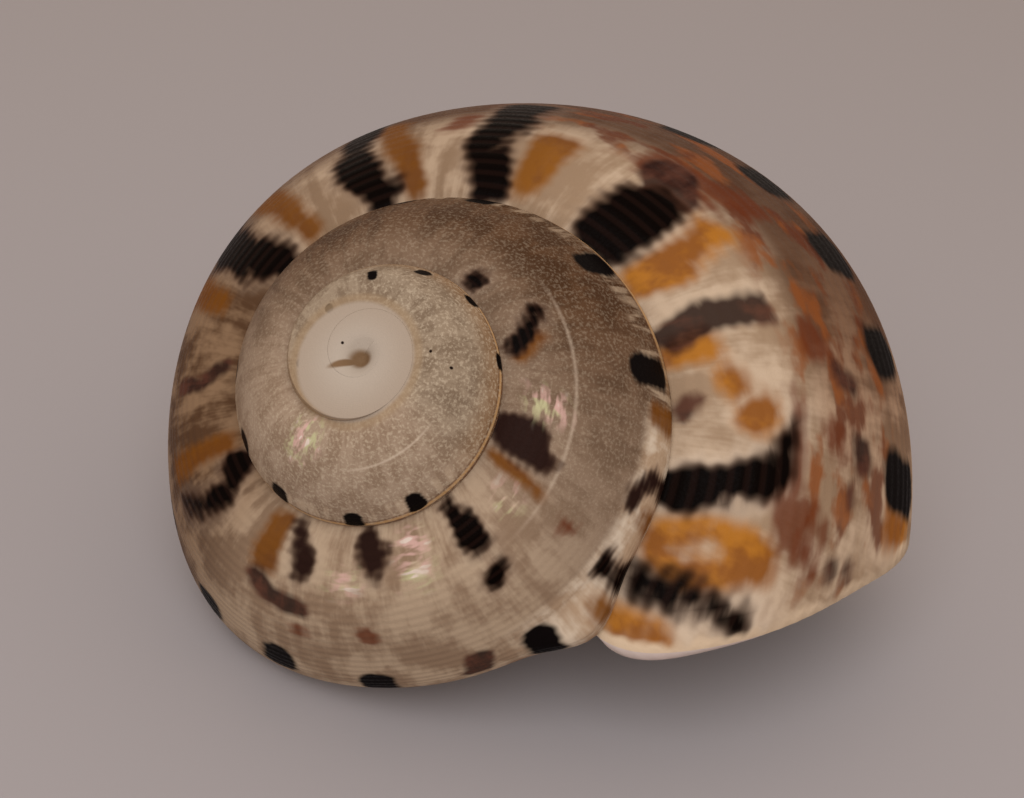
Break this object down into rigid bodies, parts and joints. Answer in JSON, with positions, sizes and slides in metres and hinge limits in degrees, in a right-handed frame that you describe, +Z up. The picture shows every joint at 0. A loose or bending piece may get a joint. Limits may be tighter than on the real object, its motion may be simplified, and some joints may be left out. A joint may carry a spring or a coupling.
{
  "type": "top shell",
  "caption": "Small empty top shell: a low coiled cone of round whorls with a wide, hollow mouth underneath, lying on its base.",
  "frame": {"origin": "centre of the bounding box, at the floor the shell lies on", "axes": "+Z up; the tip leans to the front, -Y; the lip of the mouth ends at the right, +X"},
  "size_m": [0.0152, 0.0122, 0.0089],
  "materials": {
    "shell": "satin shell with dark and orange flames, worn pearly at the tip"
  },
  "bodies": {
    "root": {"shell": "shell"}
  },
  "joints": []
}
